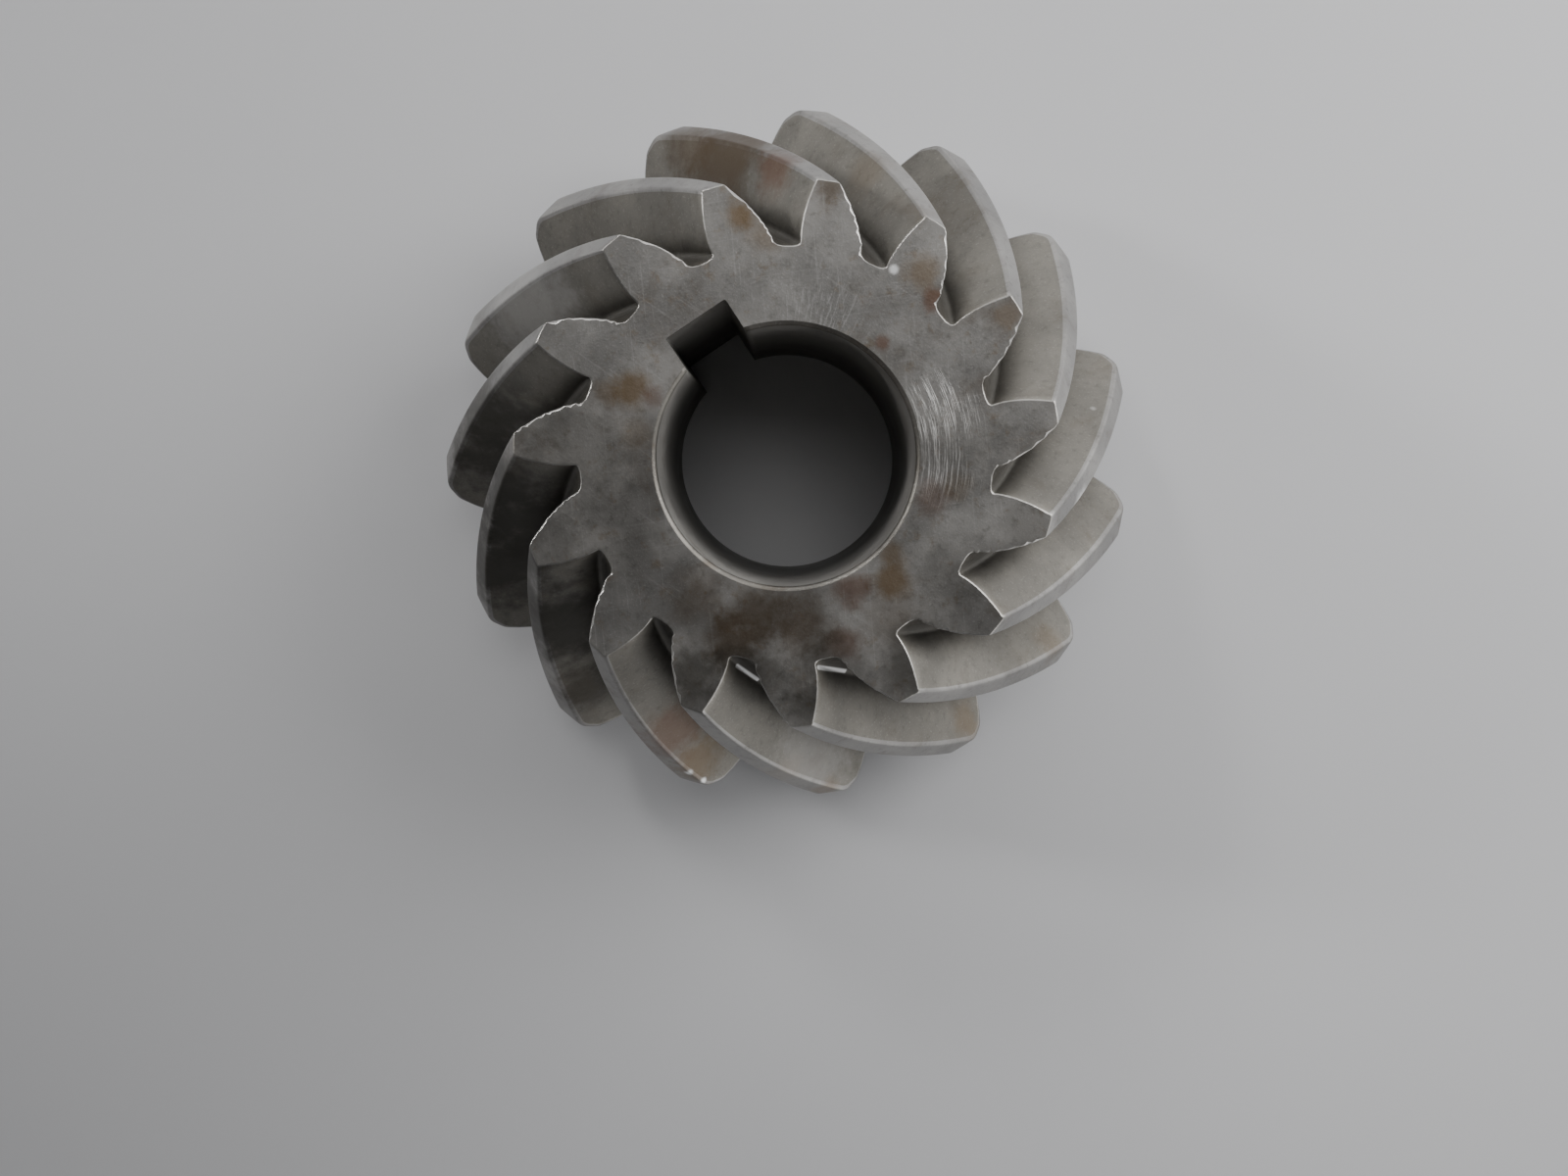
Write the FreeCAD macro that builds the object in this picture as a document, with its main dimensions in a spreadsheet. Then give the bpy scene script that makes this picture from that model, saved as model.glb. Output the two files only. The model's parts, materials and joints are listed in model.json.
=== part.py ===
import FreeCAD, Part
import os
import Sketcher
from FreeCAD import Vector
from math import acos, atan, atan2, cos, pi, radians, sin, sqrt, tan

# Spiral bevel pinion: one machined steel piece with left-hand spiral teeth, a plain bore and a
# keyway. Millimetres. +Z runs along the bore from the back face (z = 0) to the small toe end.
# The pitch, tip and root cones share one apex above the toe face, and the keyway lies on +Y.

DRIVING_SIZES = {
    # teeth
    "tooth_count": 15,
    "mate_tooth_count": 30,       # wheel that the pinion runs with, shafts at 90 degrees
    "module_size": 4.0,           # at the heel
    "tooth_addendum": 4.57,       # at the heel, above the pitch cone
    "tooth_dedendum": 2.98,       # at the heel, below the pitch cone
    "tooth_thickness": 7.4,       # along the pitch circle at the heel
    "pressure_angle": 20.0,       # degrees, normal to the flank
    "spiral_angle": 30.8,         # degrees, at the middle of the face
    "cutter_radius": 76.2,        # face-mill cutter that makes the curved teeth
    "face_width": 21.0,
    "root_fillet": 1.2,           # at the heel, shrinks in step with the cone distance
    "tooth_phase": 87.5,          # degrees from +X to the tooth beside the keyway, at mid face
    # blank
    "toe_tip_radius": 23.1,       # radius of the tooth tips in the flat toe face
    "total_length": 26.0,
    "outside_radius": 33.6,       # turned short of the sharp corner of tip cone and back cone
    "heel_chamfer": 0.6,          # between the outside diameter and the back cone
    "hub_radius": 24.0,
    "hub_chamfer": 0.6,
    # bore
    "bore_radius": 11.0,
    "bore_chamfer": 0.3,
    "keyway_width": 6.0,
    "keyway_depth": 2.8,          # from the bore wall to the keyway floor
}

GAP_SECTIONS = 9        # cross-sections in one tooth gap
GAP_OVERRUN = 1.0       # how far the gap's cut runs past the toe face and past the tips
HUB_CLEARANCE = 0.25    # how far above the hub's shoulder the gap's cut stops
FLANK_POINTS = 6
FILLET_POINTS = 3


def make_sheet(doc, sizes):
    """Write the sizes into a spreadsheet, one aliased cell each."""
    sheet = doc.addObject("Spreadsheet::Sheet", "Sizes")
    for row, (alias, value) in enumerate(sizes.items(), start=1):
        sheet.set(f"A{row}", alias)
        sheet.set(f"B{row}", str(value))
        sheet.setAlias(f"B{row}", alias)


class ToothForm:
    """Closed form of the spiral teeth, in polar coordinates about the bore axis."""

    def __init__(self, sizes):
        self.count = sizes["tooth_count"]
        self.addendum = sizes["tooth_addendum"]
        self.dedendum = sizes["tooth_dedendum"]
        self.cutter = sizes["cutter_radius"]
        self.normal_angle = radians(sizes["pressure_angle"])
        self.fillet = sizes["root_fillet"]
        self.phase = radians(sizes["tooth_phase"])
        self.pitch_angle = atan2(self.count, sizes["mate_tooth_count"])
        pitch_radius = sizes["module_size"] * self.count / 2
        self.heel_distance = pitch_radius / sin(self.pitch_angle)
        self.back_cone = pitch_radius / cos(self.pitch_angle)
        self.half_thickness = sizes["tooth_thickness"] / 2 / self.back_cone
        self.mean_distance = self.heel_distance - sizes["face_width"] / 2
        spiral = radians(sizes["spiral_angle"])
        self.cutter_offset = sqrt(self.mean_distance ** 2 + self.cutter ** 2
                                  - 2 * self.mean_distance * self.cutter * sin(spiral))
        toe_tip = sizes["toe_tip_radius"] / self.radius_rate(self.addendum)
        self.apex = sizes["total_length"] + toe_tip * self.height_rate(self.addendum)

    def radius_rate(self, above):
        """Radius per unit of cone distance, for a point this far above the pitch cone."""
        return sin(self.pitch_angle) + above / self.heel_distance * cos(self.pitch_angle)

    def height_rate(self, above):
        """Drop below the apex per unit of cone distance."""
        return cos(self.pitch_angle) - above / self.heel_distance * sin(self.pitch_angle)

    def heel_point(self, above):
        """Radius and height on the back cone, this far above the pitch cone."""
        return (self.heel_distance * self.radius_rate(above),
                self.apex - self.heel_distance * self.height_rate(above))

    def cutter_turn(self, distance):
        """Angle at the apex between the cutter's centre and the tooth, on the crown plane."""
        reach = distance ** 2 + self.cutter_offset ** 2 - self.cutter ** 2
        return acos(reach / (2 * distance * self.cutter_offset))

    def spiral(self, distance):
        """Turn of the tooth's centre line about the bore axis, zero at mid face."""
        turn = self.cutter_turn(distance) - self.cutter_turn(self.mean_distance)
        return -turn / sin(self.pitch_angle)

    def half_angle(self, above, distance):
        """Half of the tooth's angle about the bore axis: an involute on the back cone."""
        reach = distance ** 2 + self.cutter ** 2 - self.cutter_offset ** 2
        lean = reach / (2 * distance * self.cutter)
        transverse = atan(tan(self.normal_angle) / sqrt(1 - lean ** 2))
        base = self.back_cone * cos(transverse)
        local = acos(min(1.0, base / (self.back_cone + above)))
        involute = (tan(transverse) - transverse) - (tan(local) - local)
        return (self.half_thickness + involute) / cos(self.pitch_angle)

    def flank(self, above, height):
        """Radius, gap centre angle and half gap angle where a flat section cuts the flank."""
        distance = (self.apex - height) / self.height_rate(above)
        radius = distance * self.radius_rate(above)
        half_gap = pi / self.count - self.half_angle(above, distance)
        return radius, self.spiral(distance) + pi / self.count + self.phase, half_gap

    def gap_side(self, height):
        """One side of the gap in a flat section, from above the tip down to the root."""
        scale = (self.apex - height) / (self.heel_distance * cos(self.pitch_angle))
        fillet = min(self.fillet, self.fillet * scale)
        lean = self.normal_angle
        start = -self.dedendum + fillet * (1 - sin(lean))
        top = self.addendum + GAP_OVERRUN
        side = []
        for step in range(FLANK_POINTS):
            above = top + (start - top) * step / (FLANK_POINTS - 1)
            side.append(self.flank(above, height))
        radius, _, half_gap = side[-1]
        centre = radius * half_gap - fillet * cos(lean)
        for step in range(1, FILLET_POINTS + 1):
            turn = lean + (pi / 2 - lean) * step / FILLET_POINTS
            above = start + fillet * (sin(lean) - sin(turn))
            radius, middle, _ = self.flank(above, height)
            side.append((radius, middle, (centre + fillet * cos(turn)) / radius))
        return side

    def gap_outline(self, height):
        """Points round the gap's flanks and root, from one tip to the other."""
        side = self.gap_side(height)
        first = [(radius, middle - half_gap) for radius, middle, half_gap in side]
        last = [(radius, middle + half_gap) for radius, middle, half_gap in reversed(side)]
        root = [(side[-1][0], side[-1][1])]
        return [Vector(radius * cos(angle), radius * sin(angle), 0)
                for radius, angle in first + root + last]


def blank_sizes(form, sizes):
    """Corners of the turned blank, worked out from the tip cone and the back cone."""
    crown_radius, crown_height = form.heel_point(form.addendum)
    root_radius, root_height = form.heel_point(-form.dedendum)
    back_rise = (crown_height - root_height) / (crown_radius - root_radius)
    back_lean = atan(back_rise)
    outside = sizes["outside_radius"]
    chamfer = sizes["heel_chamfer"]
    corner_height = root_height + (outside - root_radius) * back_rise
    tip_distance = outside / form.radius_rate(form.addendum)
    return {
        "hub_top": root_height - (root_radius - sizes["hub_radius"]) * back_rise,
        "heel_back_radius": outside - chamfer * cos(back_lean),
        "heel_back_height": corner_height - chamfer * sin(back_lean),
        "heel_edge_height": corner_height + chamfer,
        "tip_edge_height": form.apex - tip_distance * form.height_rate(form.addendum),
    }


def origin_feature(body, role):
    """One of the body's own origin planes or axes."""
    return next(item for item in body.Origin.OriginFeatures if item.Role == role)


def add_sketch(body, name, plane, height=None):
    """A sketch on one of the body's origin planes, raised by an expression."""
    sketch = body.newObject("Sketcher::SketchObject", name)
    sketch.AttachmentSupport = [(origin_feature(body, plane), "")]
    sketch.MapMode = "FlatFace"
    if height:
        sketch.setExpression("AttachmentOffset.Base.z", height)
    return sketch


def add_polygon(sketch, corners):
    """Closed outline. Each corner is (x, y) as numbers and as expressions of the sheet."""
    points = [Vector(x, y, 0) for x, y, _, _ in corners]
    lines = [Part.LineSegment(point, points[(index + 1) % len(points)])
             for index, point in enumerate(points)]
    sketch.addGeometry(lines, False)
    for index in range(len(points)):
        following = (index + 1) % len(points)
        sketch.addConstraint(Sketcher.Constraint("Coincident", index, 2, following, 1))
    for index, (x, y, x_rule, y_rule) in enumerate(corners):
        for kind, value, rule in (("DistanceX", x, x_rule), ("DistanceY", y, y_rule)):
            if rule is None:
                sketch.addConstraint(Sketcher.Constraint("PointOnObject", index, 1, -1))
                continue
            limit = Sketcher.Constraint(kind, -1, 1, index, 1, value)
            place = sketch.addConstraint(limit)
            sketch.setExpression(f"Constraints[{place}]", rule)


def add_blank(body, sizes, corner):
    """The turned blank: toe face, tip cone, outside diameter, back cone, hub and bore."""
    length = sizes["total_length"]
    hub = sizes["hub_radius"]
    bore = sizes["bore_radius"]
    outside = sizes["outside_radius"]
    hub_cut = sizes["hub_chamfer"]
    bore_cut = sizes["bore_chamfer"]
    bore_mouth = "Sizes.bore_radius + Sizes.bore_chamfer"
    sketch = add_sketch(body, "BlankProfile", "XZ_Plane")
    add_polygon(sketch, [
        (bore + bore_cut, 0, bore_mouth, None),
        (hub - hub_cut, 0, "Sizes.hub_radius - Sizes.hub_chamfer", None),
        (hub, hub_cut, "Sizes.hub_radius", "Sizes.hub_chamfer"),
        (hub, corner["hub_top"], "Sizes.hub_radius", "Sizes.hub_top"),
        (corner["heel_back_radius"], corner["heel_back_height"],
         "Sizes.heel_back_radius", "Sizes.heel_back_height"),
        (outside, corner["heel_edge_height"], "Sizes.outside_radius", "Sizes.heel_edge_height"),
        (outside, corner["tip_edge_height"], "Sizes.outside_radius", "Sizes.tip_edge_height"),
        (sizes["toe_tip_radius"], length, "Sizes.toe_tip_radius", "Sizes.total_length"),
        (bore + bore_cut, length, bore_mouth, "Sizes.total_length"),
        (bore, length - bore_cut, "Sizes.bore_radius", "Sizes.total_length - Sizes.bore_chamfer"),
        (bore, bore_cut, "Sizes.bore_radius", "Sizes.bore_chamfer"),
    ])
    blank = body.newObject("PartDesign::Revolution", "Blank")
    blank.Profile = sketch
    blank.ReferenceAxis = (sketch, ["V_Axis"])
    blank.Angle = 360
    return blank


def add_gap(body, form, sizes, corner):
    """One tooth gap, cut by a loft through flat cross-sections from toe to heel."""
    highest = sizes["total_length"] + GAP_OVERRUN
    lowest = corner["hub_top"] + HUB_CLEARANCE
    sketches = []
    for index in range(GAP_SECTIONS):
        share = index / (GAP_SECTIONS - 1)
        rule = (f"(Sizes.total_length + {GAP_OVERRUN}) * {1 - share}"
                f" + (Sizes.hub_top + {HUB_CLEARANCE}) * {share}")
        sketch = add_sketch(body, f"GapSection{index + 1}", "XY_Plane", rule)
        outline = form.gap_outline(highest * (1 - share) + lowest * share)
        curve = Part.BSplineCurve()
        curve.interpolate(outline)
        sketch.addGeometry(curve, False)
        sketch.addGeometry(Part.LineSegment(outline[-1], outline[0]), False)
        sketches.append(sketch)
    gap = body.newObject("PartDesign::SubtractiveLoft", "ToothGap")
    gap.Profile = sketches[0]
    gap.Sections = sketches[1:]
    return gap


def add_teeth(body, gap):
    """The gap repeated round the bore axis leaves the teeth standing."""
    teeth = body.newObject("PartDesign::PolarPattern", "Teeth")
    teeth.Originals = [gap]
    teeth.Axis = (origin_feature(body, "Z_Axis"), [""])
    teeth.Angle = 360
    teeth.setExpression("Occurrences", "Sizes.tooth_count")
    body.Tip = teeth
    return teeth


def add_keyway(body, sizes):
    """Rectangular keyway along the whole bore, on +Y."""
    half = sizes["keyway_width"] / 2
    floor = sizes["bore_radius"] + sizes["keyway_depth"]
    start = sizes["bore_radius"] / 2
    left = "-Sizes.keyway_width / 2"
    right = "Sizes.keyway_width / 2"
    inner = "Sizes.bore_radius / 2"
    outer = "Sizes.bore_radius + Sizes.keyway_depth"
    sketch = add_sketch(body, "KeywayProfile", "XY_Plane", "Sizes.total_length")
    add_polygon(sketch, [
        (-half, start, left, inner),
        (half, start, right, inner),
        (half, floor, right, outer),
        (-half, floor, left, outer),
    ])
    keyway = body.newObject("PartDesign::Pocket", "Keyway")
    keyway.Profile = sketch
    keyway.Type = "ThroughAll"
    return keyway


def check_smaller(doc, before, feature):
    """Recompute, and stop if the feature took no material away."""
    doc.recompute()
    if not feature.Shape.Volume < before - 1.0:
        raise RuntimeError(f"{feature.Name} cut nothing")
    return feature.Shape.Volume


def build():
    doc = FreeCAD.newDocument("SpiralBevelPinion")
    form = ToothForm(DRIVING_SIZES)
    corner = blank_sizes(form, DRIVING_SIZES)
    make_sheet(doc, {**DRIVING_SIZES, **corner})
    doc.recompute()
    body = doc.addObject("PartDesign::Body", "Pinion")
    body.Label = "spiral_bevel_pinion"
    blank = add_blank(body, DRIVING_SIZES, corner)
    doc.recompute()
    gap = add_gap(body, form, DRIVING_SIZES, corner)
    volume = check_smaller(doc, blank.Shape.Volume, gap)
    volume = check_smaller(doc, volume, add_teeth(body, gap))
    check_smaller(doc, volume, add_keyway(body, DRIVING_SIZES))
    return doc, [body]


def write_parts(doc, bodies):
    """Check every object, then write one STEP file per sub-part."""
    for item in doc.Objects:
        if "Invalid" in item.State or "Error" in item.State:
            raise RuntimeError(f"{item.Name} failed: {item.State}")
    os.makedirs("parts", exist_ok=True)
    for body in bodies:
        if body.Shape.isNull() or not body.Shape.isValid():
            raise RuntimeError(f"{body.Label} has no valid shape")
        body.Shape.exportStep(os.path.join("parts", body.Label + ".step"))
        box = body.Shape.optimalBoundingBox(False, False)
        print(body.Label, "solids", len(body.Shape.Solids), "volume", round(body.Shape.Volume, 1))
        print("box", round(box.XLength, 3), round(box.YLength, 3), round(box.ZLength, 3))


document, sub_parts = build()
write_parts(document, sub_parts)
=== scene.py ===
import json
from math import atan, atan2, cos, pi, radians, sin, sqrt, tan

import bmesh
import bpy
import numpy as np
from mathutils import Matrix, Vector, noise
from mathutils.geometry import tessellate_polygon


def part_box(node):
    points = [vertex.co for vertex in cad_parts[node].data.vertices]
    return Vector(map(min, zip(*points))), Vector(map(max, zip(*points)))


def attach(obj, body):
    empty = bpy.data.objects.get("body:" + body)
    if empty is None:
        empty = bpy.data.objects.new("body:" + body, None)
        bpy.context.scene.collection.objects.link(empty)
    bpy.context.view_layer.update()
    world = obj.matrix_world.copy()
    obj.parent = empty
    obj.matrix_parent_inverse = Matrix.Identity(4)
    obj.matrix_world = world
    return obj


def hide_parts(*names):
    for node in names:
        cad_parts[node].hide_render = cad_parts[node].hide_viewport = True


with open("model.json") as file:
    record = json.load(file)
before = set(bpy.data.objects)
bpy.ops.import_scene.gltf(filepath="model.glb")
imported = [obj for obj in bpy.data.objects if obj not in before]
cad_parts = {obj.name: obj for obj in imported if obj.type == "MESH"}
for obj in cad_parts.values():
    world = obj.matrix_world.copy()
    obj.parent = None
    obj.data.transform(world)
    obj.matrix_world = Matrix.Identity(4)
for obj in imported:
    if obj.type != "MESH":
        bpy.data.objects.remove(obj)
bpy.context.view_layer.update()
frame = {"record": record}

# A spiral bevel pinion, toe end up, on a pale board. The mesh is worked out in millimetres
# from the same tooth form as the CAD part and is scaled to metres once, at the end.
NODE = "spiral_bevel_pinion"
MM = 0.001

# ---------------------------------------------------------------- sizes, millimetres, degrees

mounts = {mount["name"]: mount for mount in frame["record"]["mounts"]}
node_low, node_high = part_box(NODE)
LENGTH = (node_high[2] - node_low[2]) / MM
BORE = mounts["bore"]["dims"]["r_mm"]
BORE_CHAMFER = (LENGTH - mounts["bore"]["dims"]["length_mm"]) / 2
KEYWAY_WIDTH = 6.0
KEYWAY_FLOOR = BORE + 2.8
TEETH = 15
MATE_TEETH = 30
MODULE = 4.0
ADDENDUM = 4.57
DEDENDUM = 2.98
THICKNESS = 7.4
PRESSURE_ANGLE = radians(20.0)
SPIRAL_ANGLE = radians(30.8)
CUTTER = 76.2
FACE_WIDTH = 21.0
FILLET = 1.2
PHASE = radians(87.5)
TOE_TIP = 23.1
OUTSIDE = 33.6
HEEL_CHAMFER = 0.6
HUB = 24.0
HUB_CHAMFER = 0.6

# sampling of the mesh
SIDE_POINTS = 24       # from root to tip on one flank
FLOOR_POINTS = 4       # half of the gap's floor
LAND_POINTS = 5
FACE_LEVELS = 27       # cross-sections from toe to outside diameter
BACK_LEVELS = 16       # cross-sections down the back cone
ARC_POINTS = 150       # round the bore
SHORTEST_EDGE = 0.008
UNDER_RIM = 0.25       # depth of the first full cross-section under the toe face
NEXT_SECTION = 0.6     # depth at which the even cross-sections start
HUB_EASE = 0.15        # how far a turned corner is rounded off
BORE_EASE = 0.08       # the same beside the bore's chamfers


class ToothForm:
    """The pinion's teeth: polar coordinates about the bore axis, in flat cross-sections."""

    def __init__(self):
        self.pitch_angle = atan2(TEETH, MATE_TEETH)
        pitch_radius = MODULE * TEETH / 2
        self.heel = pitch_radius / sin(self.pitch_angle)
        self.back_cone = pitch_radius / cos(self.pitch_angle)
        self.mean = self.heel - FACE_WIDTH / 2
        self.offset = sqrt(self.mean ** 2 + CUTTER ** 2
                           - 2 * self.mean * CUTTER * sin(SPIRAL_ANGLE))
        self.apex = LENGTH + TOE_TIP / self.rise(ADDENDUM) * self.drop(ADDENDUM)

    def rise(self, above):
        """Radius per unit of cone distance."""
        return sin(self.pitch_angle) + above / self.heel * cos(self.pitch_angle)

    def drop(self, above):
        """Depth below the apex per unit of cone distance."""
        return cos(self.pitch_angle) - above / self.heel * sin(self.pitch_angle)

    def turn(self, distance):
        reach = distance ** 2 + self.offset ** 2 - CUTTER ** 2
        return np.arccos(reach / (2 * distance * self.offset))

    def spiral(self, distance):
        """Angle of the tooth's centre line about the bore axis."""
        return (self.turn(self.mean) - self.turn(distance)) / sin(self.pitch_angle) + PHASE

    def half_angle(self, above, distance):
        """Half of the tooth's angle about the bore axis."""
        lean = (distance ** 2 + CUTTER ** 2 - self.offset ** 2) / (2 * distance * CUTTER)
        transverse = np.arctan(tan(PRESSURE_ANGLE) / np.sqrt(1 - lean ** 2))
        base = self.back_cone * np.cos(transverse)
        local = np.arccos(np.minimum(1.0, base / (self.back_cone + above)))
        involute = (np.tan(transverse) - transverse) - (np.tan(local) - local)
        return (THICKNESS / 2 / self.back_cone + involute) / cos(self.pitch_angle)

    def above_at(self, radius, height):
        """How far above the pitch cone a point of this radius and height lies."""
        return self.heel * tan(atan2(radius, self.apex - height) - self.pitch_angle)

    def heel_corner(self, above):
        """Radius and height where a cone meets the back cone."""
        return self.heel * self.rise(above), self.apex - self.heel * self.drop(above)

    def side(self, top, height):
        """Radius, centre angle and half tooth angle, from the root up to this tooth height."""
        share = np.linspace(0, 1, SIDE_POINTS) ** 1.25
        above = -DEDENDUM + (top + DEDENDUM) * share
        distance = (self.apex - height) / self.drop(above)
        radius = distance * self.rise(above)
        half = self.half_angle(above, distance)
        scale = (self.apex - height) / (self.heel * cos(self.pitch_angle))
        fillet = min(FILLET, FILLET * scale)
        start = -DEDENDUM + fillet * (1 - sin(PRESSURE_ANGLE))
        start_distance = (self.apex - height) / self.drop(start)
        start_gap = pi / TEETH - self.half_angle(start, start_distance)
        centre = start_distance * self.rise(start) * start_gap - fillet * cos(PRESSURE_ANGLE)
        lift = np.clip(fillet - (above + DEDENDUM), 0, fillet)
        rounded = pi / TEETH - (centre + np.sqrt(fillet ** 2 - lift ** 2)) / radius
        half = np.where(above < start, rounded, half)
        return radius, self.spiral(distance), half


form = ToothForm()
ROOT_HEEL = form.heel_corner(-DEDENDUM)
CROWN = form.heel_corner(ADDENDUM)
BACK_RISE = (CROWN[1] - ROOT_HEEL[1]) / (CROWN[0] - ROOT_HEEL[0])


def back_height(radius):
    """Height of the back cone at this radius."""
    return ROOT_HEEL[1] + (radius - ROOT_HEEL[0]) * BACK_RISE


def rounded(corners, radius, steps=3):
    """A line of points with each inner corner replaced by a small curve."""
    line = [Vector(corners[0])]
    for before, corner, after in zip(corners, corners[1:], corners[2:]):
        corner = Vector(corner)
        into = (Vector(before) - corner).normalized() * radius
        out = (Vector(after) - corner).normalized() * radius
        for step in range(steps + 1):
            t = step / steps
            line.append(corner + into * (1 - t) ** 2 + out * t ** 2)
    line.append(Vector(corners[-1]))
    return line


# ---------------------------------------------------------------- cross-sections of the teeth

CORNER_REACH = 0.16
ZONES = ("toe", "flank", "land", "root", "burr", "edge", "chamfer", "bore", "turned")


def pitch_outline(height, top_radius):
    """One tooth of a cross-section as (x, y, zone), from gap centre to gap centre."""
    top = max(form.above_at(top_radius, height), -DEDENDUM + 0.02)
    radius, middle, half = form.side(top, height)
    gap = pi / TEETH
    floor_share = np.linspace(0, 1, FLOOR_POINTS + 1)[:-1]
    floor_turn = gap + (half[0] - gap) * floor_share
    floor = [(radius[0], turn, "root") for turn in floor_turn]
    corner = Vector((radius[-1], half[-1] * radius[-1]))
    below = Vector((radius[-2], half[-2] * radius[-2]))
    reach = min(CORNER_REACH, (corner - below).length * 0.9)
    into = (below - corner).normalized() * reach
    across = Vector((0, -reach))
    side = [(radius[i], half[i], "flank") for i in range(SIDE_POINTS - 1)]
    turns = list(middle[:-1])
    edge = []
    for t in (0.0, 0.33, 0.67, 1.0):
        point = corner + into * (1 - t) ** 2 + across * t ** 2
        edge.append((point.x, point.y / point.x, "land"))
    land_half = edge[-1][1]
    rising = floor + side + edge
    centre = [middle[0]] * FLOOR_POINTS + turns + [middle[-1]] * len(edge)
    outline = [(r, c - turn, zone) for (r, turn, zone), c in zip(rising, centre)]
    for share in np.linspace(-1, 1, LAND_POINTS + 2)[1:-1]:
        outline.append((radius[-1], middle[-1] + land_half * share, "land"))
    falling = list(zip(rising, centre))[:0:-1]
    outline += [(r, c + turn, zone) for (r, turn, zone), c in falling]
    return outline


def section(height, top_radius):
    """A whole cross-section, as an array of points round all the teeth."""
    unit = pitch_outline(height, top_radius)
    points = []
    for tooth in range(TEETH):
        turn = 2 * pi * tooth / TEETH
        for r, angle, _ in unit:
            points.append((r * cos(angle + turn), r * sin(angle + turn), height))
    return np.array(points)


unit_zones = [zone for _, _, zone in pitch_outline(LENGTH, TOE_TIP)]
PER_TOOTH = len(unit_zones)
RISING = FLOOR_POINTS + SIDE_POINTS - 1     # points of the clockwise side before its top edge


def inset(points, depth):
    """The outline moved inwards by a depth that may differ from point to point."""
    flat = points[:, :2]
    along = np.roll(flat, -1, axis=0) - np.roll(flat, 1, axis=0)
    along /= np.linalg.norm(along, axis=1)[:, None]
    inward = np.stack([-along[:, 1], along[:, 0]], axis=1)
    moved = points.copy()
    moved[:, :2] += inward * np.asarray(depth)[:, None]
    return moved


def ragged(index):
    """Whether this point of a cross-section is on a tooth's clockwise flank."""
    return FLOOR_POINTS + 3 <= index % PER_TOOTH < RISING


def rim_depth(points):
    """Width of the worn edge round the toe face: a ragged burr on the clockwise flanks."""
    depths = []
    for index, (x, y, _) in enumerate(points):
        chip = noise.fractal(Vector((x * 2.3, y * 2.3, 0)), 0.8, 2.0, 4)
        width = 0.17 + 0.26 * chip if ragged(index) else 0.075 + 0.03 * chip
        depths.append(min(0.5, max(0.045, width)))
    return np.array(depths)


def side_levels():
    """(height, top radius) of each cross-section from just under the toe face to the heel."""
    tip_distance = OUTSIDE / form.rise(ADDENDUM)
    tip_edge = form.apex - tip_distance * form.drop(ADDENDUM)
    lean = atan(BACK_RISE)
    corner = back_height(OUTSIDE)
    profile = rounded([
        (TOE_TIP, LENGTH),
        (OUTSIDE, tip_edge),
        (OUTSIDE, corner + HEEL_CHAMFER),
        (OUTSIDE - HEEL_CHAMFER * cos(lean), corner - HEEL_CHAMFER * sin(lean)),
        (ROOT_HEEL[0] + 0.02, back_height(ROOT_HEEL[0] + 0.02)),
    ], 0.22)
    line = [profile[0]]
    for end, count in ((profile[1], FACE_LEVELS), *((p, 1) for p in profile[2:-1]),
                       (profile[-1], BACK_LEVELS)):
        start = line[-1]
        line += [start.lerp(end, step / count) for step in range(1, count + 1)]
    return [(point.y, point.x) for point in line[1:]]


# ---------------------------------------------------------------- bore, keyway, hub

def keyed_circle(radius, height):
    """The bore's outline with its keyway on +Y, counter-clockwise from the keyway's left edge."""
    half = KEYWAY_WIDTH / 2
    mouth = atan2(sqrt(radius ** 2 - half ** 2), half)
    points = []
    for share in np.linspace(0, 1, ARC_POINTS + 1):
        angle = pi - mouth + share * (2 * mouth + pi)
        points.append((radius * cos(angle), radius * sin(angle), height))
    notch = rounded([
        (half, sqrt(radius ** 2 - half ** 2)),
        (half, KEYWAY_FLOOR),
        (-half, KEYWAY_FLOOR),
        (-half, sqrt(radius ** 2 - half ** 2)),
    ], 0.25)
    start = notch[0]
    walls = [start.lerp(notch[1], step / 4) for step in range(1, 4)]
    walls += notch[1:5]
    walls += [notch[4].lerp(notch[5], step / 4) for step in range(1, 4)]
    walls += notch[5:9]
    walls += [notch[8].lerp(notch[9], step / 4) for step in range(1, 4)]
    points += [(point.x, point.y, height) for point in walls]
    return np.array(points)


def circle_like(points, radius, height):
    """A circle whose points have the same angles as those of another ring."""
    flat = points[:, :2] / np.linalg.norm(points[:, :2], axis=1)[:, None]
    return np.column_stack([flat * radius, np.full(len(points), height)])


def bore_zone(start, end):
    """The zone of the strip between two points (radius, height) of the bore's profile."""
    return "bore" if start.y - end.y > LENGTH / 2 else "chamfer"


class Shell:
    """Collects rings of points and the faces between them."""

    def __init__(self):
        self.points = []
        self.faces = []
        self.zones = []

    def ring(self, points):
        start = len(self.points)
        self.points += [tuple(point) for point in points]
        return range(start, start + len(points))

    def strip(self, upper, lower, zone):
        """Quads between two rings. zone is one name or one for each point."""
        count = len(upper)
        for i in range(count):
            j = (i + 1) % count
            self.faces.append((upper[i], lower[i], lower[j], upper[j]))
            self.zones.append(zone if isinstance(zone, str) else zone[i])

    def flat(self, outer, inner, zone, upwards):
        """Triangles between an outer and an inner ring in one plane."""
        order = list(outer) + list(inner)
        loops = [[Vector(self.points[i]) for i in ring] for ring in (outer, inner)]
        for triangle in tessellate_polygon(loops):
            a, b, c = (order[i] for i in triangle)
            pa, pb, pc = (Vector(self.points[i]) for i in (a, b, c))
            normal = (pb - pa).cross(pc - pa)
            if normal.length < 1e-9:
                continue
            face = (a, b, c) if (normal.z > 0) == upwards else (a, c, b)
            self.faces.append(face)
            self.zones.append(zone)


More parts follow.
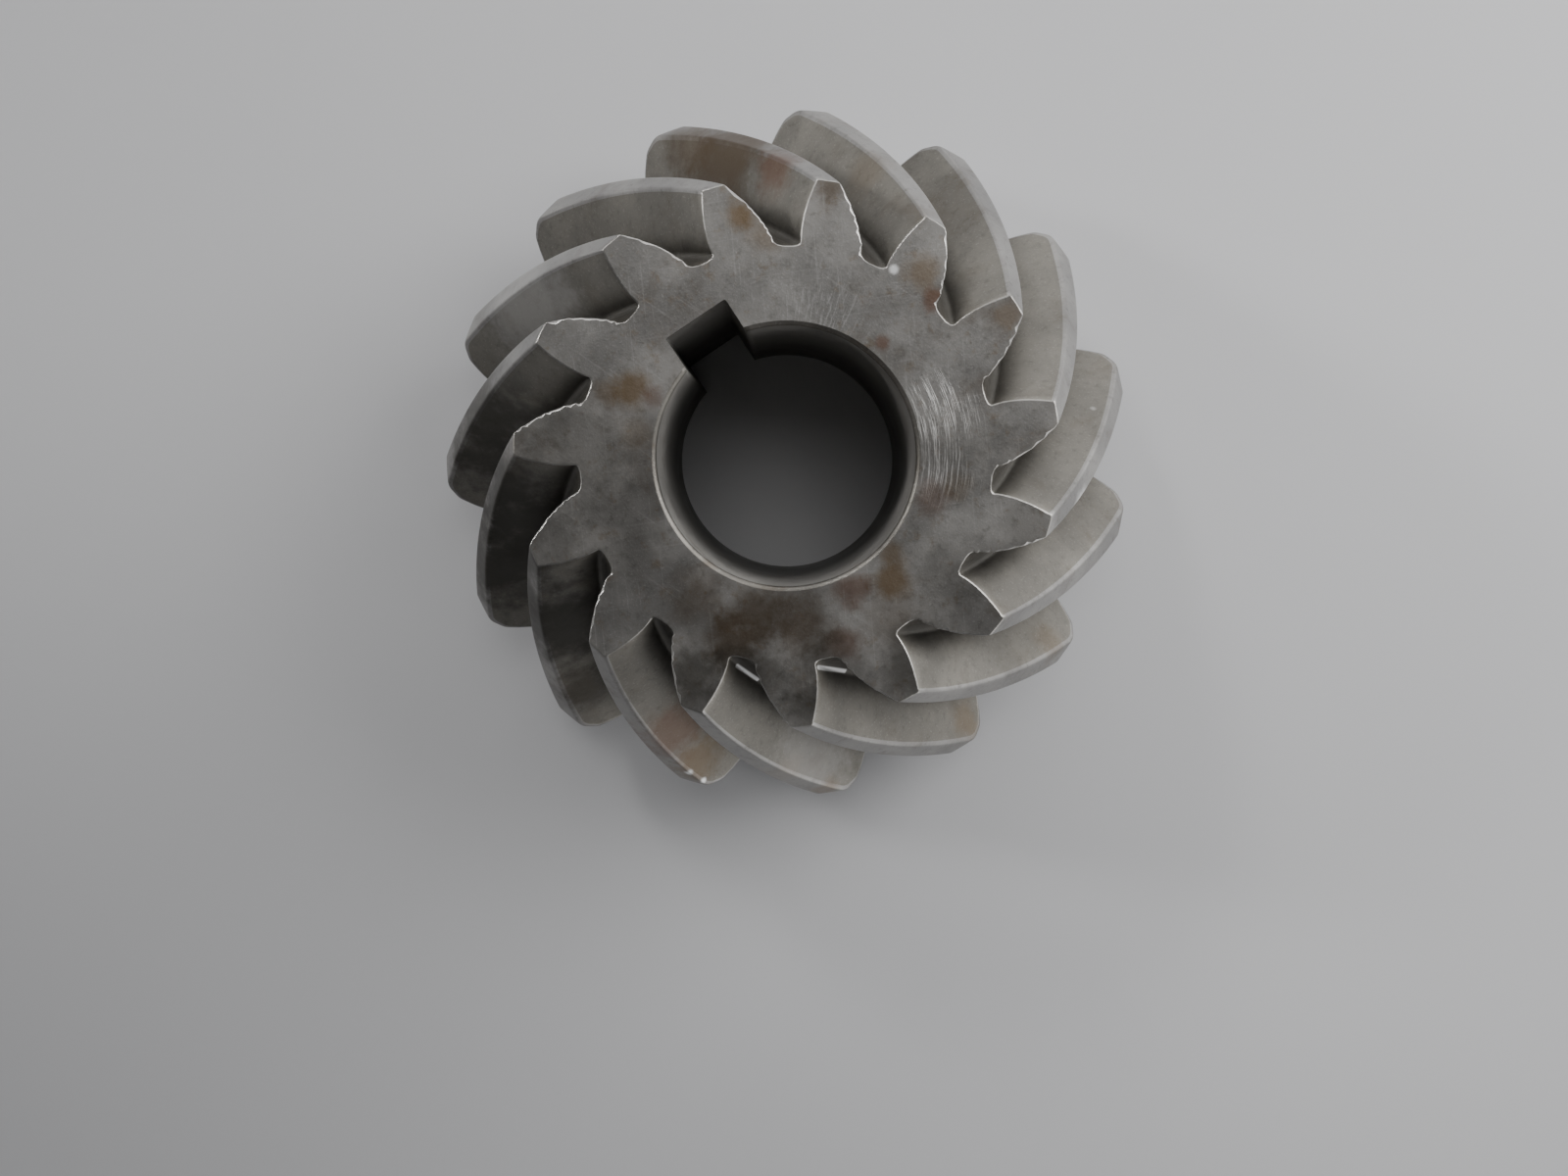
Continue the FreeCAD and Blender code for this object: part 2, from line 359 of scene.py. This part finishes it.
def build_shell():
    shell = Shell()
    # outside, from the toe face down to the hub
    top = section(LENGTH, TOE_TIP)
    depth = rim_depth(top)
    zones = unit_zones * TEETH
    rim = ["burr" if ragged(index) else "edge" for index in range(len(top))]
    first = shell.ring(inset(top, depth))
    toe_outer = first
    middle = inset(top, depth * 0.3)
    middle[:, 2] -= depth * 0.3
    second = shell.ring(middle)
    shell.strip(first, second, rim)
    under_radius = TOE_TIP + UNDER_RIM * form.rise(ADDENDUM) / form.drop(ADDENDUM)
    under = section(LENGTH - UNDER_RIM, under_radius)
    share = (depth / UNDER_RIM).clip(0, 1)[:, None]
    third = shell.ring(top * (1 - share) + under * share)
    shell.strip(second, third, rim)
    previous = third
    for height, radius in side_levels():
        if height > LENGTH - NEXT_SECTION:
            continue
        current = shell.ring(section(height, radius))
        shell.strip(previous, current, zones)
        previous = current
    last_points = np.array([shell.points[i] for i in previous])
    hub_line = rounded([
        (ROOT_HEEL[0] - 0.05, back_height(ROOT_HEEL[0] - 0.05)),
        (HUB, back_height(HUB)),
        (HUB, HUB_CHAMFER),
        (HUB - HUB_CHAMFER, 0),
        (HUB - HUB_CHAMFER - 0.5, 0),
    ], HUB_EASE)
    for point in hub_line:
        current = shell.ring(circle_like(last_points, point.x, point.y))
        shell.strip(previous, current, "turned")
        previous = current
    back_outer = previous
    # bore, from the toe face down to the back face; the outermost points only set the directions
    # in which the profile meets the two faces, so they are dropped
    line = rounded([
        (BORE + BORE_CHAMFER + 0.3, LENGTH),
        (BORE + BORE_CHAMFER, LENGTH),
        (BORE, LENGTH - BORE_CHAMFER),
        (BORE, BORE_CHAMFER),
        (BORE + BORE_CHAMFER, 0),
        (BORE + BORE_CHAMFER + 0.3, 0),
    ], BORE_EASE, steps=1)[1:-1]
    inner = toe_inner = shell.ring(keyed_circle(*line[0]))
    for before, point in zip(line, line[1:]):
        current = shell.ring(keyed_circle(*point))
        shell.strip(current, inner, bore_zone(before, point))
        inner = current
    shell.flat(toe_outer, toe_inner, "toe", upwards=True)
    shell.flat(back_outer, inner, "turned", upwards=False)
    return shell


def make_pinion(materials):
    """The pinion's mesh object, with one material for each zone of its surface."""
    shell = build_shell()
    mesh = bpy.data.meshes.new("pinion")
    mesh.from_pydata([(x * MM, y * MM, z * MM) for x, y, z in shell.points], [], shell.faces)
    for zone in ZONES:
        mesh.materials.append(materials[zone])
    mesh.polygons.foreach_set("material_index", [ZONES.index(zone) for zone in shell.zones])
    mesh.polygons.foreach_set("use_smooth", [True] * len(shell.faces))
    clean_mesh(mesh)
    climb = mesh.attributes.new("climb", "FLOAT", "POINT")
    climb.data.foreach_set("value", [climb_of(vertex.co / MM) for vertex in mesh.vertices])
    pinion = bpy.data.objects.new("pinion", mesh)
    bpy.context.scene.collection.objects.link(pinion)
    normals = pinion.modifiers.new("Normals", "WEIGHTED_NORMAL")
    normals.weight = 80
    normals.keep_sharp = True
    return pinion


def climb_of(place):
    """How far up the tooth a point lies: 0 at the root cone, 1 at the tip cone."""
    above = form.above_at(sqrt(place.x ** 2 + place.y ** 2), place.z)
    return (above + DEDENDUM) / (ADDENDUM + DEDENDUM)


def is_level(face):
    heights = [corner.co.z for corner in face.verts]
    return max(heights) - min(heights) < 0.001 * MM


def clean_mesh(mesh):
    """Closes up edges too short to see, and keeps the two flat end faces flat in shading."""
    work = bmesh.new()
    work.from_mesh(mesh)
    bmesh.ops.remove_doubles(work, verts=work.verts, dist=SHORTEST_EDGE * MM)
    bmesh.ops.dissolve_degenerate(work, edges=work.edges, dist=SHORTEST_EDGE * MM / 8)
    for edge in work.edges:
        level = [is_level(face) for face in edge.link_faces]
        edge.smooth = all(level) or not any(level)
    work.to_mesh(mesh)
    work.free()


# ---------------------------------------------------------------- materials

def on_gear(radius, angle, height):
    """The place, in metres, at this radius, angle in degrees and height above the back face."""
    turn = radians(angle)
    return Vector((radius * cos(turn), radius * sin(turn), height)) * MM


class Graph:
    """Builds a material's nodes: each call adds one node and returns its output."""

    def __init__(self, name):
        self.material = bpy.data.materials.new(name)
        self.material.use_nodes = True
        self.tree = self.material.node_tree
        self.shader = self.tree.nodes["Principled BSDF"]
        self.place = self.add("ShaderNodeTexCoord").outputs["Object"]

    def add(self, kind, inputs=None, **settings):
        node = self.tree.nodes.new(kind)
        for name, value in settings.items():
            setattr(node, name, value)
        for name, value in (inputs or {}).items():
            self.put(node.inputs[name], value)
        return node

    def put(self, socket, value):
        """A socket takes another node's output or a constant."""
        if isinstance(value, bpy.types.NodeSocket):
            self.tree.links.new(value, socket)
        else:
            socket.default_value = value

    def math(self, operation, a, b=0.0):
        return self.add("ShaderNodeMath", {0: a, 1: b}, operation=operation).outputs[0]

    def noise(self, scale, detail=3.0, rough=0.55, place=None, distortion=0.0):
        node = self.add("ShaderNodeTexNoise", {
            "Vector": place or self.place, "Scale": scale, "Detail": detail,
            "Roughness": rough, "Distortion": distortion})
        return node.outputs["Fac"]

    def ramp(self, value, low, high, start=0.0, end=1.0):
        """Start below low, end above high, smooth between."""
        node = self.add("ShaderNodeMapRange", {
            "Value": value, "From Min": low, "From Max": high, "To Min": start, "To Max": end},
            interpolation_type="SMOOTHSTEP")
        return node.outputs["Result"]

    def mix(self, share, a, b):
        node = self.add("ShaderNodeMix", {"Factor": share}, data_type="RGBA")
        self.put(node.inputs[6], a)
        self.put(node.inputs[7], b)
        return node.outputs[2]

    def polar(self, radius_scale, angle_scale):
        """Texture place in (radius, angle) about the bore axis, each stretched by its scale."""
        parts = self.add("ShaderNodeSeparateXYZ", {0: self.place}).outputs
        flat = self.add("ShaderNodeCombineXYZ", {"X": parts["X"], "Y": parts["Y"]}).outputs[0]
        radius = self.add("ShaderNodeVectorMath", {0: flat}, operation="LENGTH").outputs["Value"]
        angle = self.math("ARCTAN2", parts["Y"], parts["X"])
        return self.add("ShaderNodeCombineXYZ", {
            "X": self.math("MULTIPLY", radius, radius_scale / MM),
            "Y": self.math("MULTIPLY", angle, angle_scale)}).outputs[0]

    def scratches(self, heading, across, along, low=0.62, high=0.72):
        """Thin straight lines at this heading (degrees), across and along features per metre."""
        turned = self.add("ShaderNodeMapping", {"Vector": self.place})
        turned.inputs["Rotation"].default_value = (0, 0, radians(-heading))
        drawn = self.add("ShaderNodeMapping", {"Vector": turned.outputs[0]})
        drawn.inputs["Scale"].default_value = (along, across, along)
        return self.ramp(self.noise(1.0, 2.0, 0.5, place=drawn.outputs[0]), low, high)

    def spot(self, radius, angle, height, size, ragged, soft=1.6):
        """Mask of a blotch at this radius, angle (degrees) and height on the gear."""
        centre = on_gear(radius, angle, height)
        away = self.add("ShaderNodeVectorMath", {0: self.place, 1: centre}, operation="DISTANCE")
        reach = self.math("DIVIDE", away.outputs["Value"], size * MM)
        wobbly = self.math("ADD", reach, self.math("MULTIPLY", ragged, soft))
        return self.ramp(wobbly, soft * 0.5 + 0.25, soft * 0.5 + 1.2, 1.0, 0.0)

    def streak(self, start, end, width):
        """Mask of a thin mark between two places (radius, degrees, height) on the gear."""
        start, end = on_gear(*start), on_gear(*end)
        along = end - start
        offset = self.add("ShaderNodeVectorMath", {0: self.place, 1: start}, operation="SUBTRACT")
        offset = offset.outputs[0]
        dot = self.add("ShaderNodeVectorMath", {0: offset, 1: along}, operation="DOT_PRODUCT")
        reach = self.math("DIVIDE", dot.outputs["Value"], along.length_squared)
        reach = self.math("MINIMUM", self.math("MAXIMUM", reach, 0.0), 1.0)
        nearest = self.add("ShaderNodeVectorMath", {0: along, "Scale": reach}, operation="SCALE")
        away = self.add("ShaderNodeVectorMath", {0: offset, 1: nearest.outputs[0]},
                        operation="DISTANCE")
        return self.ramp(away.outputs["Value"], width * MM / 4, width * MM / 1.6, 1.0, 0.0)

    def paint(self, mask, strength, colour):
        """Lays a colour over what is there, as far as the mask says."""
        share = self.math("MULTIPLY", mask, strength)
        self.colour = self.mix(share, self.colour, colour)


def rgb(red, green, blue):
    return (red, green, blue, 1.0)


TOE_GREY = rgb(0.265, 0.256, 0.242)
FLANK_GREY = rgb(0.205, 0.194, 0.170)
LAND_GREY = rgb(0.320, 0.312, 0.300)
# the gap floors: grime with painted shade, far darker than the flanks
SHADED_ROOT_GREY = rgb(0.090, 0.083, 0.070)
BURR_PALE = rgb(0.460, 0.450, 0.430)
EDGE_GREY = rgb(0.330, 0.320, 0.300)
CHAMFER_GREY = rgb(0.190, 0.180, 0.162)
BORE_GREY = rgb(0.300, 0.290, 0.272)
TURNED_GREY = rgb(0.260, 0.250, 0.235)
# dark oil; also the colour of the painted shade in the gaps, down the bore and on the teeth on the
# -X side
OIL_AND_SHADE_DARK = rgb(0.045, 0.041, 0.033)
BROWN = rgb(0.085, 0.055, 0.028)
OCHRE = rgb(0.165, 0.102, 0.040)
RUST = rgb(0.140, 0.062, 0.030)
BARE = rgb(0.560, 0.550, 0.535)
GLINT = rgb(0.880, 0.880, 0.870)

# Rust, dried oil, painted shade and a ding with a painted glint on the toe face: radius in
# millimetres, degrees counter-clockwise from +X, size in millimetres, strength, colour.
TOE_SPOTS = [
    (14.2, 123, 1.9, 0.70, OCHRE),      # left of the keyway
    (15.8, 127, 1.5, 0.45, OCHRE),
    (12.3, 122, 1.2, 0.45, RUST),
    (13.0, 138, 1.7, 0.30, OCHRE),
    (20.5, 67, 1.5, 0.70, OCHRE),       # teeth beside the keyway
    (18.6, 62, 2.0, 0.35, OCHRE),
    (22.4, 47, 1.4, 0.60, BROWN),
    (19.1, 20, 1.9, 0.50, OCHRE),
    (18.0, 13, 1.2, 0.60, RUST),
    (22.0, -1, 1.5, 0.40, OCHRE),
    (12.5, 16, 0.8, 0.60, RUST),        # right of the bore
    (12.7, -48, 1.8, 0.40, RUST),
    (14.6, -43, 1.5, 0.30, OCHRE),
    (13.9, -82, 1.9, 0.70, OCHRE),
    (12.2, -76, 1.4, 0.50, OCHRE),
    (12.6, -97, 1.9, 0.55, RUST),
    (16.7, -106, 1.8, 0.50, RUST),
    (14.4, -118, 3.2, 0.60, BROWN),     # the broad stain on the side away from the keyway
    (13.6, -134, 3.2, 0.60, BROWN),
    (16.0, -140, 2.8, 0.65, BROWN),
    (14.1, -156, 2.8, 0.45, BROWN),
    (16.2, -90, 3.0, 0.35, BROWN),
    (19.1, -134, 3.4, 0.60, OIL_AND_SHADE_DARK),  # oil on the teeth and between them, with painted shade darkening the side away from the light
    (18.5, -112, 3.4, 0.50, OIL_AND_SHADE_DARK),
    (20.0, -92, 3.4, 0.35, OIL_AND_SHADE_DARK),
    (21.0, -152, 3.0, 0.40, OIL_AND_SHADE_DARK),
    (21.5, -118, 2.6, 0.55, OIL_AND_SHADE_DARK),
    (21.5, -95, 2.6, 0.45, OIL_AND_SHADE_DARK),
    (20.5, -146, 3.0, 0.60, OIL_AND_SHADE_DARK),
    # broad dark patches: oil with painted shade
    (21.0, 140, 3.4, 0.35, OIL_AND_SHADE_DARK),
    (21.0, 165, 3.4, 0.30, OIL_AND_SHADE_DARK),
    (15.5, 168, 6.0, 0.30, OIL_AND_SHADE_DARK),
    (16.5, 144, 5.5, 0.40, OIL_AND_SHADE_DARK),
    (21.3, -49, 3.2, 0.30, OIL_AND_SHADE_DARK),
    (14.5, -30, 4.5, 0.30, OIL_AND_SHADE_DARK),
    (17.5, -70, 4.0, 0.30, OIL_AND_SHADE_DARK),
    (18.0, 26.5, 0.42, 1.00, GLINT),    # a ding at the root of a tooth, painted white as a glint
]

# The same on the teeth, with painted shade, painted light and painted glints among them: radius,
# degrees, height above the back face, size, strength, colour.
TOOTH_SPOTS = [
    (27.9, 68, 15.5, 8.0, 0.45, OIL_AND_SHADE_DARK),  # the rustiest tooth, beside the keyway
    (27.9, 68, 15.5, 6.0, 0.75, BROWN),
    (25.0, 59, 21.2, 3.0, 0.60, RUST),
    (31.0, 74, 11.1, 4.0, 0.60, BROWN),
    (26.5, 41, 17.7, 3.0, 0.25, OCHRE),
    (27.8, -146, 14.3, 5.0, 0.50, RUST),    # teeth on the side away from the keyway
    (30.7, -140, 10.0, 3.5, 0.50, OCHRE),
    (32.6, -117, 9.3, 1.8, 0.60, OCHRE),
    (30.0, -124, 14.3, 2.5, 0.30, OCHRE),
    (31.5, -89, 8.2, 2.4, 0.35, OCHRE),
    (31.2, -68, 10.2, 2.4, 0.30, OCHRE),
    (29.8, -166, 11.8, 3.4, 0.35, BROWN),
    (25.2, -176, 18.4, 7.0, 0.85, OIL_AND_SHADE_DARK),    # painted shade: dark flanks and lands on the teeth on the -X side
    (29.3, -165, 11.1, 4.0, 0.60, OIL_AND_SHADE_DARK),
    (24.5, 162, 19.0, 7.0, 0.95, OIL_AND_SHADE_DARK),
    (29.0, 150, 14.0, 6.5, 0.80, OIL_AND_SHADE_DARK),
    (26.5, 172, 19.5, 6.5, 0.80, OIL_AND_SHADE_DARK),
    (29.0, 165, 13.0, 8.0, 0.90, OIL_AND_SHADE_DARK),
    (27.6, 139, 16.0, 8.0, 0.80, OIL_AND_SHADE_DARK),
    (24.5, 150, 22.5, 4.5, 0.90, OIL_AND_SHADE_DARK),
    (23.4, 169, 25.5, 3.0, 0.80, OIL_AND_SHADE_DARK),
    (26.6, -42.5, 20.0, 1.7, 1.00, GLINT),  # a painted glint at the top of a tooth
    (28.0, 116, 15.5, 8.0, 0.40, BARE),     # two lighter flanks; the first is painted light on a flank the lamps leave dark
    (28.7, -118, 12.1, 7.0, 0.30, BARE),
    (29.5, -71, 12.3, 6.0, 0.30, OIL_AND_SHADE_DARK),     # a grimier one
    (32.3, -141, 10.2, 0.50, 1.00, GLINT),  # dings, with their glints painted white
    (33.1, -138, 8.6, 0.42, 1.00, GLINT),
    (29.3, -24, 13.0, 0.35, 0.50, BARE),
]

# Painted glints: thin reflections on the root fillets in two gaps near the toe face: start, end
# (radius, degrees, height), width.
ROOT_FILLET_GLINTS = [
    ((18.5, -137, 24.5), (19.9, -131, 21.0), 0.45),
    ((18.2, -115, 25.6), (19.6, -108, 21.8), 0.45),
]


def steel(name, base, rough, metal, contrast, stain, bump):
    """Worn steel: mottled grey, faint brown staining, fine pitting."""
    graph = Graph(name)
    broad = graph.noise(160, 4.0, 0.6)
    fine = graph.noise(1400, 3.0, 0.65)
    grit = graph.noise(5200, 2.0, 0.6)
    lighter = rgb(*(tone * (1 + 0.4 * contrast) for tone in base[:3]))
    darker = rgb(*(tone * (1 - 0.4 * contrast) for tone in base[:3]))
    graph.colour = graph.mix(graph.ramp(broad, 0.35, 0.68), darker, lighter)
    graph.paint(graph.ramp(fine, 0.5, 0.8), 0.35, OIL_AND_SHADE_DARK)
    graph.paint(graph.ramp(grit, 0.55, 0.80), 0.25, BARE)
    brown = graph.noise(210, 5.0, 0.65, distortion=0.4)
    graph.paint(graph.ramp(brown, 0.50, 0.75), stain, BROWN)
    graph.roughness = graph.ramp(broad, 0.3, 0.75, rough - 0.06, rough + 0.08)
    pits = graph.math("MULTIPLY", fine, 0.7)
    graph.height = graph.math("ADD", pits, graph.math("MULTIPLY", grit, 0.5))
    graph.bump = bump
    graph.metal = metal
    return graph


def finish_steel(graph):
    """Connects the colour, roughness and pitting that a graph has collected."""
    graph.put(graph.shader.inputs["Base Color"], graph.colour)
    graph.put(graph.shader.inputs["Roughness"], graph.roughness)
    graph.shader.inputs["Metallic"].default_value = graph.metal
    bump = graph.add("ShaderNodeBump", {"Height": graph.height, "Strength": graph.bump,
                                        "Distance": 0.00006})
    graph.put(graph.shader.inputs["Normal"], bump.outputs[0])
    return graph.material


def toe_steel():
    """The flat toe face: rubbed by a washer beside the bore, scratched, stained and oily, with
    painted shade on its side away from the light and a painted glint.
    """
    graph = steel("toe_steel", TOE_GREY, 0.42, 0.75, contrast=0.45, stain=0.40, bump=0.35)
    ragged = graph.noise(420, 5.0, 0.65)
    speckle = graph.ramp(graph.noise(900, 4.0, 0.7), 0.56, 0.72)
    graph.paint(speckle, 0.35, OCHRE)
    streaks = graph.ramp(graph.noise(1.0, 3.0, 0.7, place=graph.polar(6.0, 3.2)), 0.48, 0.66)
    spokes = graph.ramp(graph.noise(1.0, 3.0, 0.7, place=graph.polar(0.5, 55.0)), 0.48, 0.66)
    rubbed = graph.math("MAXIMUM", graph.spot(13.3, -18, LENGTH, 3.4, ragged),
                        graph.spot(13.3, -38, LENGTH, 3.0, ragged))
    turned = graph.spot(12.4, 42, LENGTH, 4.6, ragged)
    graph.paint(graph.math("MULTIPLY", rubbed, streaks), 0.85, BARE)
    graph.paint(graph.math("MULTIPLY", turned, spokes), 0.35, BARE)
    for heading, strength in ((62, 0.14), (-25, 0.08), (112, 0.10)):
        graph.paint(graph.scratches(heading, 3800, 110), strength, BARE)
    scored = graph.math("MULTIPLY", graph.math("MULTIPLY", rubbed, streaks), 1.5)
    graph.height = graph.math("ADD", graph.height, scored)
    # stains, oil, painted shade and a painted glint
    for radius, angle, size, strength, colour in TOE_SPOTS:
        graph.paint(graph.spot(radius, angle, LENGTH, size, ragged), strength, colour)
    return finish_steel(graph)


def tooth_steel(name, base, rough, metal, root_shade_and_grime):
    """Gap floors, flanks and lands: darker towards the root as painted shade with grime, rusty in
    places, dinged, with painted glints, painted shade and painted light in places.
    """
    graph = steel(name, base, rough, metal, contrast=0.35, stain=0.30, bump=0.15)
    ragged = graph.noise(420, 5.0, 0.65)
    climb = graph.add("ShaderNodeAttribute", attribute_name="climb").outputs["Fac"]
    # painted shade with grime: darker towards the root cone, in the recess between the teeth
    shade_and_grime = graph.math("ADD", climb, graph.math("MULTIPLY", ragged, 0.3))
    graph.paint(graph.ramp(shade_and_grime, 0.15, 0.62, 1.0, 0.0), root_shade_and_grime, OIL_AND_SHADE_DARK)
    # stains, oil, painted shade, painted light and painted glints
    for radius, angle, height, size, strength, colour in TOOTH_SPOTS:
        graph.paint(graph.spot(radius, angle, height, size, ragged), strength, colour)
    # painted glints on the root fillets
    for start, end, width in ROOT_FILLET_GLINTS:
        graph.paint(graph.streak(start, end, width), 0.9, GLINT)
    return finish_steel(graph)


def bore_steel():
    """The bore's wall: bright near the toe, darker further down as painted shade with some oil."""
    graph = steel("bore_steel", BORE_GREY, 0.42, 0.35, contrast=0.40, stain=0.40, bump=0.15)
    height = graph.add("ShaderNodeSeparateXYZ", {0: graph.place}).outputs["Z"]
    # painted shade with some oil: darker with depth down the bore
    shade_and_grime = graph.ramp(height, 0.30 * LENGTH * MM, 0.85 * LENGTH * MM, 1.0, 0.0)
    graph.paint(shade_and_grime, 0.85, OIL_AND_SHADE_DARK)
    return finish_steel(graph)


def make_materials():
    """One material for each zone. The plain ones differ only in their numbers."""
    # name, colour, roughness, metallic, contrast, stain, bump
    finishes = {
        "burr": ("burr_steel", BURR_PALE, 0.36, 0.85, 0.50, 0.20, 0.30),
        "edge": ("edge_steel", EDGE_GREY, 0.36, 0.85, 0.50, 0.30, 0.20),
        "chamfer": ("chamfer_steel", CHAMFER_GREY, 0.45, 0.80, 0.60, 0.50, 0.20),
        "turned": ("turned_steel", TURNED_GREY, 0.40, 0.85, 0.40, 0.30, 0.20),
    }
    made = {zone: finish_steel(steel(*values)) for zone, values in finishes.items()}
    made["toe"] = toe_steel()
    made["bore"] = bore_steel()
    made["root"] = tooth_steel("root_steel", SHADED_ROOT_GREY, 0.50, 0.70, 0.0)
    made["flank"] = tooth_steel("flank_steel", FLANK_GREY, 0.42, 0.65, 0.75)
    made["land"] = tooth_steel("land_steel", LAND_GREY, 0.40, 0.80, 0.0)
    return made


# ---------------------------------------------------------------- board, light, camera

ROLL = radians(-33.5)     # the camera sees the keyway to the upper left
FRAME_TURN = Matrix.Rotation(ROLL, 4, "Z")
BOARD_GAP = 0.00003       # metres, keeps the board clear of the back face
BOARD_FLAT = 0.6          # metres, radius of its flat part
BOARD_BEND = 0.3          # metres, radius of the curve up into the wall
BOARD_WALL = 1.1          # metres, height of the wall
BOARD_SIDES = 96
AIR_LIGHT = 0.02          # strength of the even light from all round
LENS = 29.1               # millimetres, on a 36 mm sensor
CAMERA_PLACE = Vector((0.40, -1.95, LENGTH + 107.65)) * MM
CAMERA_TILT = 0.0849      # radians from straight down, towards the picture's lower edge
CAMERA_LEAN = 0.0054      # radians, sideways


def make_board():
    """A plain pale board under the gear, which curves up into a wall far away all round."""
    sweep = np.linspace(0, pi / 2, 10)
    profile = [(BOARD_FLAT + BOARD_BEND * sin(a), BOARD_BEND * (1 - cos(a))) for a in sweep]
    profile.append((BOARD_FLAT + BOARD_BEND, BOARD_WALL))
    turns = [2 * pi * i / BOARD_SIDES for i in range(BOARD_SIDES)]
    points = [(r * cos(turn), r * sin(turn), z - BOARD_GAP) for r, z in profile for turn in turns]
    faces = [tuple(range(BOARD_SIDES))]
    for ring in range(len(profile) - 1):
        for i in range(BOARD_SIDES):
            j = (i + 1) % BOARD_SIDES
            low, high = ring * BOARD_SIDES, (ring + 1) * BOARD_SIDES
            faces.append((low + i, high + i, high + j, low + j))
    mesh = bpy.data.meshes.new("board")
    mesh.from_pydata(points, [], faces)
    mesh.polygons.foreach_set("use_smooth", [True] * len(faces))
    board = bpy.data.objects.new("board", mesh)
    bpy.context.scene.collection.objects.link(board)
    graph = Graph("board")
    shade = graph.noise(6, 2.0, 0.5)
    colour = graph.mix(shade, rgb(0.60, 0.60, 0.615), rgb(0.66, 0.66, 0.67))
    graph.put(graph.shader.inputs["Base Color"], colour)
    graph.shader.inputs["Roughness"].default_value = 0.7
    mesh.materials.append(graph.material)


# Soft light, mostly from low on the right and the far side: name, degrees counter-clockwise
# from the picture's right, degrees above the board, metres away, width and height in metres,
# watts, degrees of spread. The last two are narrow beams.
SOFTBOXES = [
    ("right_low", -42, 10, 0.5, (0.32, 0.32), 0.84, 180),
    ("right", 0, 10, 0.38, (0.26, 0.26), 0.30, 180),
    ("corner", 30, 28, 0.30, (0.20, 0.20), 0.76, 180),
    ("corner_low", 60, 10, 0.34, (0.24, 0.24), 0.18, 180),
    ("corner_high", 45, 52, 0.38, (0.26, 0.26), 0.08, 180),
    ("far_low", 90, 10, 0.4, (0.26, 0.26), 0.46, 180),
    ("far_left", 120, 10, 0.5, (0.32, 0.32), 0.08, 180),
    ("far_high", 90, 60, 0.5, (0.30, 0.30), 0.38, 180),
    ("gridded_far", 122, 30, 0.5, (0.08, 0.08), 0.012, 24),
    ("gridded_left", 160, 22, 0.5, (0.08, 0.08), 0.018, 24),
]


def make_light(name, side, rise, away, size, power, spread):
    """A softbox that faces the gear."""
    data = bpy.data.lights.new(name, "AREA")
    data.shape = "RECTANGLE"
    data.size, data.size_y = size
    data.energy = power
    data.spread = radians(spread)
    light = bpy.data.objects.new(name, data)
    bpy.context.scene.collection.objects.link(light)
    out = Vector((cos(radians(rise)) * cos(radians(side)), cos(radians(rise)) * sin(radians(side)),
                  sin(radians(rise))))
    light.location = FRAME_TURN @ (out * away)
    light.rotation_euler = (-light.location).to_track_quat("-Z", "Y").to_euler()


def make_world():
    world = bpy.data.worlds.new("studio")
    world.use_nodes = True
    background = world.node_tree.nodes["Background"]
    background.inputs["Color"].default_value = rgb(0.93, 0.96, 1.0)
    background.inputs["Strength"].default_value = AIR_LIGHT
    bpy.context.scene.world = world


def make_camera():
    """Looking down on the toe face from a hand's breadth away, slightly off the axis."""
    data = bpy.data.cameras.new("camera")
    data.sensor_width = 36.0
    data.lens = LENS
    data.clip_start = 0.005
    camera = bpy.data.objects.new("camera", data)
    bpy.context.scene.collection.objects.link(camera)
    lean = Matrix.Rotation(CAMERA_LEAN, 4, "Y")
    tilt = Matrix.Rotation(-CAMERA_TILT, 4, "X")
    place = Matrix.Translation(FRAME_TURN @ CAMERA_PLACE)
    camera.matrix_world = place @ FRAME_TURN @ lean @ tilt
    bpy.context.scene.camera = camera


pinion = make_pinion(make_materials())
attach(pinion, "root")
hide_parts(NODE)
make_board()
make_world()
for light in SOFTBOXES:
    make_light(*light)
make_camera()
